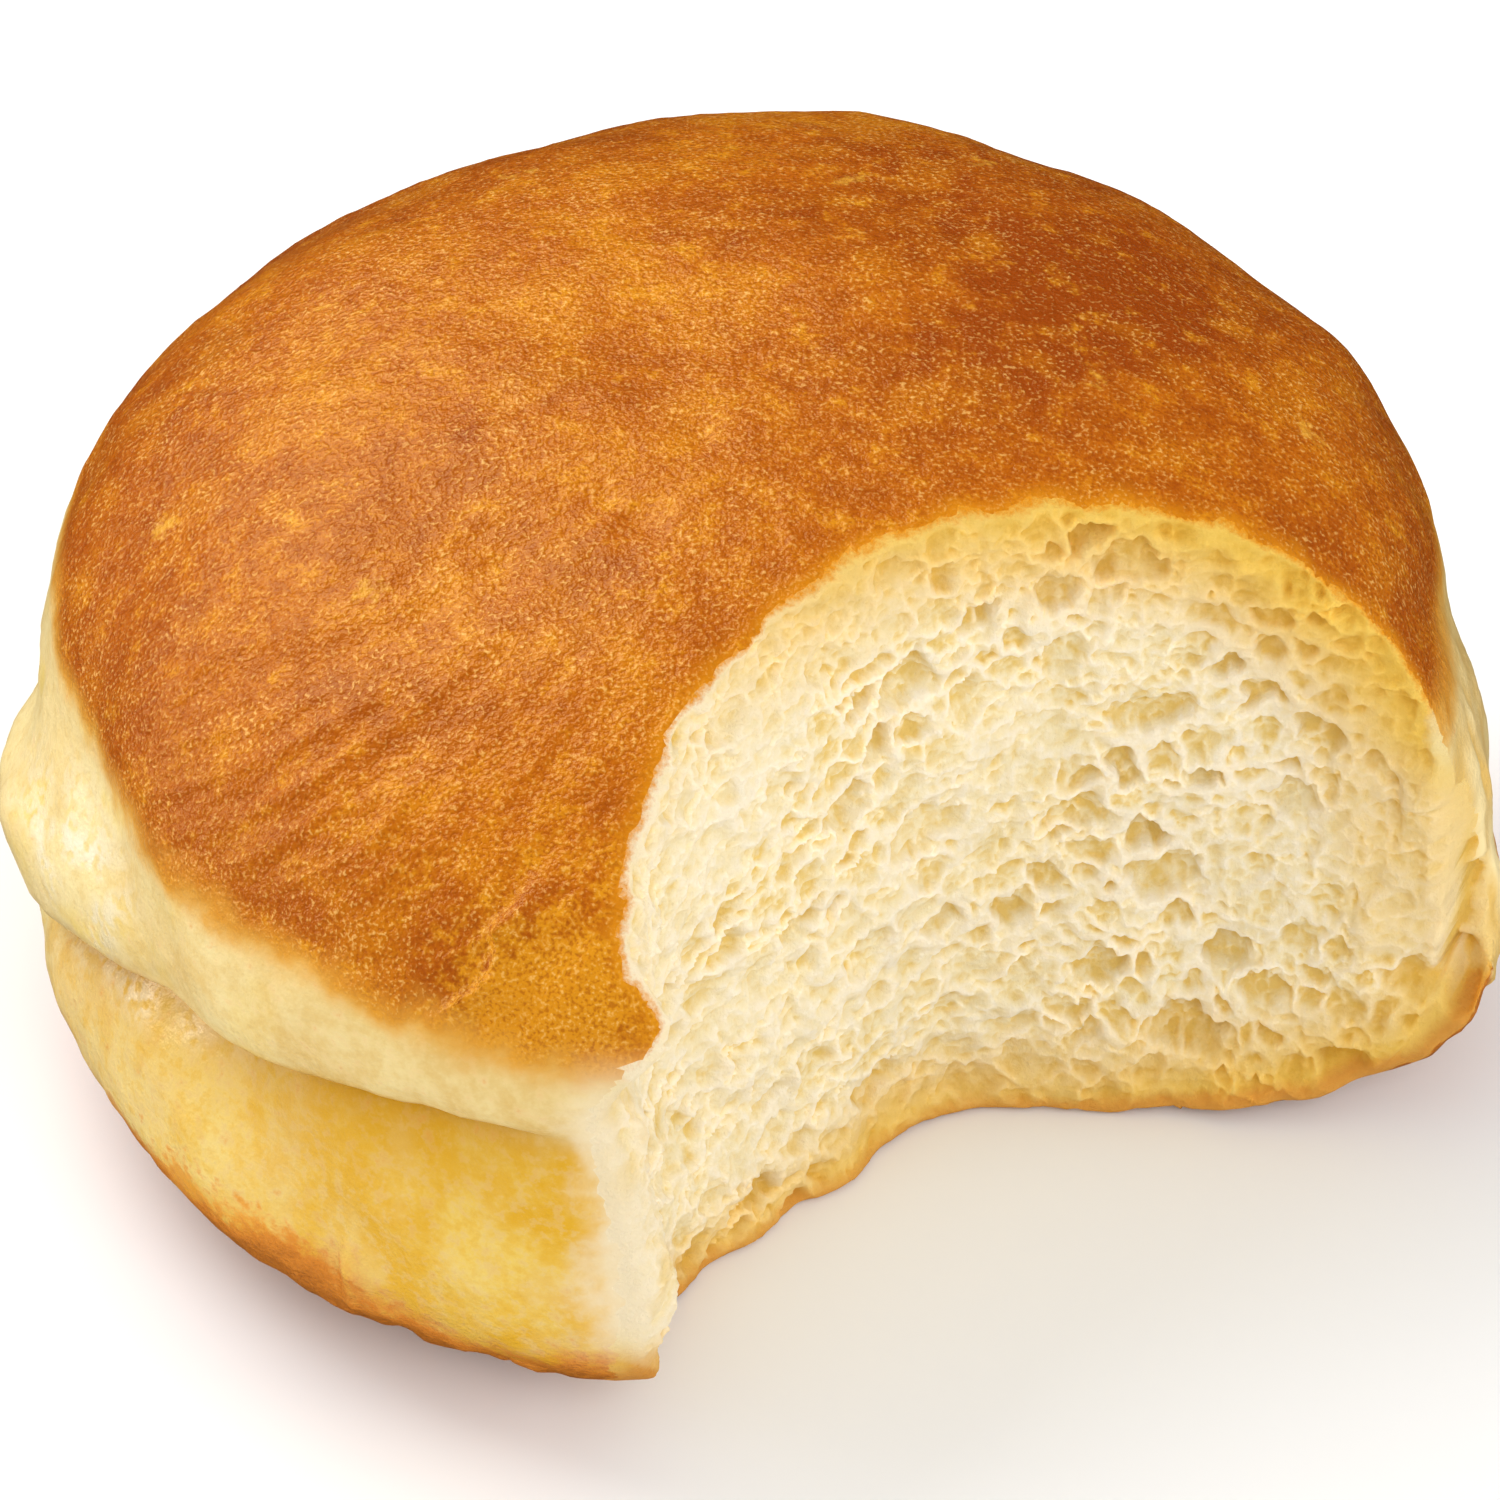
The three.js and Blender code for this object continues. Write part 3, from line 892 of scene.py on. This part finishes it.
CRUST_RED = colour(152, 64, 4)
CRUST_BROWN = colour(184, 95, 5)
CRUST_GOLD = colour(210, 128, 10)
CRUST_SPECK_AND_GLINT = colour(247, 196, 112)
RIM_GOLD = colour(220, 140, 16)
FLECK = colour(232, 172, 56)
FRINGE_GOLD = colour(218, 156, 56)
BAND_PALE = colour(242, 224, 166)
BAND_CREAM = colour(231, 208, 146)
BAND_WARM = colour(216, 178, 102)
LIP_CREAM = colour(234, 216, 180)
HIGHLIGHT_WHITE = colour(250, 244, 224)
LOWER_YELLOW = colour(236, 203, 100)
LOWER_GOLD = colour(227, 173, 38)
SCORCH_GOLD = colour(230, 148, 22)
CORNER_GOLD = colour(222, 148, 22)
FOLD_SHADE_OCHRE = colour(192, 136, 0)
FOOT_GOLD = colour(214, 131, 44)
FOOT_BROWN = colour(184, 108, 36)
FIBRE_PALE = colour(243, 221, 164)
FIBRE_GOLD = colour(226, 186, 104)


def skin_colour(wire, place, speck):
    """The fried skin's colour with its specks, which are partly painted glints, and how far it lies above the
    edge of the browned dome.
    """
    cloud = wire.stored("cloud")
    patchy = wire.stored("patchy")
    mottle = wire.grain(place, 2.0, detail=3, roughness=0.65)
    chips = wire.grain(place, 0.9, detail=3, roughness=0.65)
    rise = wire.stored("above_brown_edge")
    foot = wire.stored("foot")

    # The dome is darkest just over its edge, golden at the corner and the rim of the bite, and specked with
    # pale blisters whose colour is partly painted glint.
    toasted = 0.45 * cloud + 0.55 * mottle - 0.25 * wire.stored("darker")
    dome = toasted.shades(0.28, 0.70, CRUST_RED, CRUST_BROWN, CRUST_GOLD)
    dark_ring = rise.between(0.6, 2.6) * (1 - rise.between(3, 9))
    dome = (0.45 * dark_ring).tint(dome, CRUST_RED)
    dome = (0.45 * patchy.between(0.52, 0.76)).tint(dome, CRUST_GOLD)
    corner = wire.stored("golden") + 2.2 * (mottle - 0.5) + 1.6 * (chips - 0.5)
    dome = (0.75 * corner.between(0.1, 0.9)).tint(dome, CORNER_GOLD)
    dome = (0.5 * (1 - speck.between(0.30, 0.50))).tint(dome, CRUST_RED)
    # Painted highlight: the pale specks stand partly for the glints of the oily blisters.
    speck_and_glint = (0.3 + 0.25 * patchy.between(0.35, 0.65)) * speck.between(0.54, 0.76)
    dome = speck_and_glint.tint(dome, CRUST_SPECK_AND_GLINT)
    fleck = wire.stored("fleck") + 2.4 * (chips - 0.5)
    dome = (0.55 * fleck.between(0.45, 1.1)).tint(dome, FLECK)
    near_rim = 1 - (wire.stored("from_rim") + 3.0 * (mottle - 0.5)).between(-0.6, 1.7)
    dome = (0.7 * near_rim).tint(dome, RIM_GOLD)

    # The band over the fold is cream, and palest at the left.
    patches = 0.6 * cloud + 0.4 * mottle
    band = patches.shades(0.38, 0.62, BAND_WARM, BAND_CREAM)
    left = wire.stored("left")
    band = (0.5 * left).tint(band, BAND_PALE)
    band = (0.7 * left * patchy.between(0.50, 0.68)).tint(band, LOWER_YELLOW)
    band = (0.4 * chips.between(0.46, 0.70)).tint(band, BAND_PALE)
    band = (0.35 * (1 - chips.between(0.30, 0.52))).tint(band, BAND_WARM)

    # Under the fold it is yellow, streaked upright and scorched here and there, with painted shade in the
    # crease.
    lower = patches.shades(0.38, 0.60, LOWER_GOLD, LOWER_YELLOW)
    lower = (0.8 * left).tint(lower, BAND_PALE)
    lower = (0.4 * chips.between(0.48, 0.62)).tint(lower, BAND_CREAM)
    lower = (0.35 * (1 - chips.between(0.36, 0.50))).tint(lower, LOWER_GOLD)
    streak = wire.stored("streak")
    lower = (0.28 * streak.between(0.48, 0.74)).tint(lower, BAND_CREAM)
    lower = (0.35 * (1 - streak.between(0.30, 0.52))).tint(lower, LOWER_GOLD)
    band = wire.stored("below_fold").tint(band, lower)
    # Painted shade in the crease under the fold.
    band = (0.9 * wire.stored("fold_shade")).tint(band, FOLD_SHADE_OCHRE)
    scorch = (1.5 * wire.stored("scorched") + 2.8 * (chips - 0.5)).between(0.5, 1.3)
    band = (0.75 * scorch).tint(band, SCORCH_GOLD)

    # The foot browns in flakes, and the torn strip shows its fibres.
    flaky = foot + 0.9 * (chips - 0.5)
    band = flaky.between(0, 0.6).tint(band, FOOT_GOLD)
    band = (flaky.between(0.5, 1) * (1 - 0.4 * speck.between(0.45, 0.65))).tint(band, FOOT_BROWN)
    fibres = wire.stored("streaks").shades(-0.5, 0.5, FIBRE_GOLD, FIBRE_PALE)
    band = wire.stored("bared").tint(band, fibres)
    blotch = rise + 2.4 * (mottle - 0.5)
    fringe = blotch.between(-2.2, 0.4).tint(band, FRINGE_GOLD)
    return blotch.between(-0.8, 2.0).tint(fringe, dome), rise


BLISTER_SIZE = 0.25
DIMPLE_SIZE = 0.8
shader, wire, place = finish_nodes(crust_finish)
fine = wire.grain(place, BLISTER_SIZE, detail=1)
skin_shade, rise = skin_colour(wire, place, fine)
dimples = wire.grain(place, DIMPLE_SIZE, detail=1)
lip_reach = wire.stored("from_rim") + 1.6 * (dimples - 0.5) + 6 * (wire.stored("patchy") - 0.5)
lip = wire.stored("lip") * (1 - lip_reach.between(-1.2, 3.8))
skin_shade = lip.tint(skin_shade, LIP_CREAM)
browned = rise.between(-0.8, 1.6)
crusty = browned + wire.stored("foot")
blisters = (0.13 * fine + 0.16 * dimples) * (0.4 + 0.6 * crusty)
bump = wire.node("ShaderNodeBump", {"Height": blisters, "Strength": 1.0, "Distance": MM})
wet_and_highlight = (1 - crusty) * wire.stored("wet_and_highlight") * dimples.between(0.36, 0.54)
# Painted highlight: the wet spots are tinted near-white to stand for reflections on the moist skin.
skin_shade = (0.8 * wet_and_highlight).tint(skin_shade, HIGHLIGHT_WHITE)
feed(
    shader,
    Base_Color=skin_shade,
    Roughness=0.30 - 0.10 * wet_and_highlight,
    Normal=bump,
    Specular_IOR_Level=0.55,
    Specular_Tint=(1.0, 0.74, 0.26, 1),
    Coat_Weight=0.9 * wet_and_highlight,
    Coat_Roughness=0.1,
)

# The crumb's finish: the torn inside of the dough. Cream-white threads and thin walls stand round cells that
# are painted a warmer, darker yellow as shade. It is denser and yellower in the last few millimetres under
# the skin and over the underside, and palest at the left.
FOOT_EDGE = colour(214, 151, 64)
CRUMB_WHITE = colour(243, 231, 205)
CRUMB_CREAM = colour(238, 221, 177)
CRUMB_CELL_TONE_AND_SHADE = colour(227, 194, 112)
YELLOW_PALE = colour(234, 193, 90)
YELLOW_MIDDLE = colour(229, 185, 77)
YELLOW_DEEP_SHADE = colour(216, 166, 57)
THREAD_SIZE = 0.35
shader, wire, place = finish_nodes(crumb_finish)
shader.subsurface_method = "BURLEY"
under = wire.stored("under_skin")
from_rim = wire.stored("from_rim")
right_end = wire.stored("right_end")
cloud = wire.stored("cloud")
fluff = wire.grain(place, THREAD_SIZE, detail=4, roughness=0.65)

# Painted shade: cells darken with their depth, hollows darken and ridges pale by how sunk they lie; the crumb
# turns yellow under the skin.
shade_and_tone = 0.12 + 0.7 * wire.stored("pit") + 0.35 * (cloud - 0.5)
shade_and_tone = shade_and_tone + 0.5 * (fluff - 0.5) + 2.0 * wire.stored("hollow")
pale = shade_and_tone.shades(0, 1, CRUMB_WHITE, CRUMB_CREAM, CRUMB_CELL_TONE_AND_SHADE)
pale = (0.5 * wire.stored("lip") * wire.stored("patchy").between(0.48, 0.66)).tint(pale, CRUMB_CELL_TONE_AND_SHADE)
rich = shade_and_tone.shades(0, 1, YELLOW_PALE, YELLOW_MIDDLE, YELLOW_DEEP_SHADE)
bared = wire.stored("bared") * (1 - from_rim.between(4.0, 8.0))
yellow = 1 - (under - 1.6 * right_end + 3.5 * bared + 3 * (cloud - 0.5)).between(-1, 9)
crumb = (yellow * (1 - 0.8 * wire.stored("paler"))).tint(pale, rich)
lip = 0.8 * wire.stored("lip") * (1 - from_rim.between(0.0, 3.0))
crumb = lip.tint(crumb, LIP_CREAM)

# The cut edge of the skin frames it, browned at the foot, golden at the dome and wider at the left tip.
rise = wire.stored("above_brown_edge")
foot = wire.stored("foot")
tip = wire.stored("tip") * (1 - (from_rim + 2 * (fluff - 0.5)).between(1.5, 5.0))
skin_shade = wire.stored("below_fold").tint(BAND_CREAM, LOWER_YELLOW)
skin_shade = foot.between(0, 0.7).tint(skin_shade, FOOT_EDGE)
skin_shade = (0.4 * tip * foot.between(0.5, 1)).tint(skin_shade, FOOT_BROWN)
skin_shade = rise.between(-0.8, 2.0).tint(skin_shade, RIM_GOLD)
on_dome = rise.between(-1, 1)
edge = under + 0.6 * (fluff - 0.5) - 0.5 * foot * right_end
edge = 1 - edge.between(0.3 - 0.3 * on_dome, 1.5 - 1.1 * on_dome)
edge = edge * (1 - wire.stored("lip")) * (1 - bared)
bump = wire.node("ShaderNodeBump", {"Height": fluff, "Strength": 0.7, "Distance": 0.0004})
feed(
    shader,
    Base_Color=(edge + tip).tint(crumb, skin_shade),
    Roughness=0.7,
    Normal=bump,
    Subsurface_Weight=0.6,
    Subsurface_Radius=(1.0, 0.75, 0.4),
    Subsurface_Scale=0.0010,
    Specular_IOR_Level=0.2,
)

# The table and the light: a plain white table under a large soft light from the left and behind, with an even
# white sky and a front light that fills the bite.
FLOOR = 3.0
floor_mesh = bpy.data.meshes.new("table")
floor_corners = [(-FLOOR, -FLOOR, 0), (FLOOR, -FLOOR, 0), (FLOOR, FLOOR, 0), (-FLOOR, FLOOR, 0)]
floor_mesh.from_pydata(floor_corners, [], [(0, 1, 2, 3)])
floor = bpy.data.objects.new("table", floor_mesh)
bpy.context.collection.objects.link(floor)
floor.visible_glossy = False
floor_finish = bpy.data.materials.new("white_table")
feed(finish_nodes(floor_finish)[0], Base_Color=(0.9, 0.9, 0.9, 1), Roughness=0.9, Specular_IOR_Level=0.1)
floor_mesh.materials.append(floor_finish)

LIGHT_AIM = Vector((0, 0, 0.025))
SKY_STRENGTH = 0.66


def soft_light(name, place, size, power, shine):
    """A square light that faces the doughnut, and may or may not shine back from it."""
    lamp = bpy.data.lights.new(name, "AREA")
    lamp.size = size
    lamp.energy = power
    light = bpy.data.objects.new(name, lamp)
    light.location = place
    light.rotation_mode = "QUATERNION"
    light.rotation_quaternion = (LIGHT_AIM - Vector(place)).to_track_quat("-Z", "Y")
    light.visible_glossy = shine
    bpy.context.collection.objects.link(light)


soft_light("window_left", (-0.44, 0.40, 0.66), 0.7, 5.7, True)
soft_light("window_side", (-0.92, 0.10, 0.22), 0.3, 1.8, True)
soft_light("fill_front", (0.30, -0.72, 0.62), 0.6, 3.0, False)
soft_light("fill_left", (-0.70, -0.50, 0.22), 0.5, 0.4, False)
soft_light("fill_right", (0.80, -0.10, 0.30), 0.5, 1.7, False)
world = bpy.data.worlds.new("white_sky")
world.use_nodes = True
sky = world.node_tree.nodes["Background"]
sky.inputs["Color"].default_value = (1, 1, 1, 1)
sky.inputs["Strength"].default_value = SKY_STRENGTH
bpy.context.scene.world = world
world.cycles_visibility.glossy = False
bpy.context.scene.view_settings.view_transform = "Standard"

# The camera: a long lens in front of the doughnut, looking down on it at 41 degrees. The photo is measured
# in pixels, and its scale in pixels to the millimetre.
CAMERA_RISE = math.radians(41)
CAMERA_FAR = 600
PHOTO_SIDE = 1500
PHOTO_SCALE = 17
SENSOR = 36
SEEN = np.array([0, 0, 27])
SEEN_RIGHT = 748.3 - PHOTO_SIDE / 2
SEEN_UP = PHOTO_SIDE / 2 - 655.5
forward = np.array([0, math.cos(CAMERA_RISE), -math.sin(CAMERA_RISE)])
upward = np.array([0, math.sin(CAMERA_RISE), math.cos(CAMERA_RISE)])
aim = SEEN + AXIS - np.array([SEEN_RIGHT, 0, 0]) / PHOTO_SCALE - upward * SEEN_UP / PHOTO_SCALE
eye = SEEN + AXIS - forward * CAMERA_FAR
lens = bpy.data.cameras.new("photo_lens")
lens.sensor_width = SENSOR
lens.lens = SENSOR * PHOTO_SCALE * CAMERA_FAR / PHOTO_SIDE
lens.clip_start = 0.01
camera = bpy.data.objects.new("photo_camera", lens)
camera.location = eye * MM
camera.rotation_mode = "QUATERNION"
camera.rotation_quaternion = Vector((aim - eye) * MM).to_track_quat("-Z", "Y")
bpy.context.collection.objects.link(camera)
bpy.context.scene.camera = camera
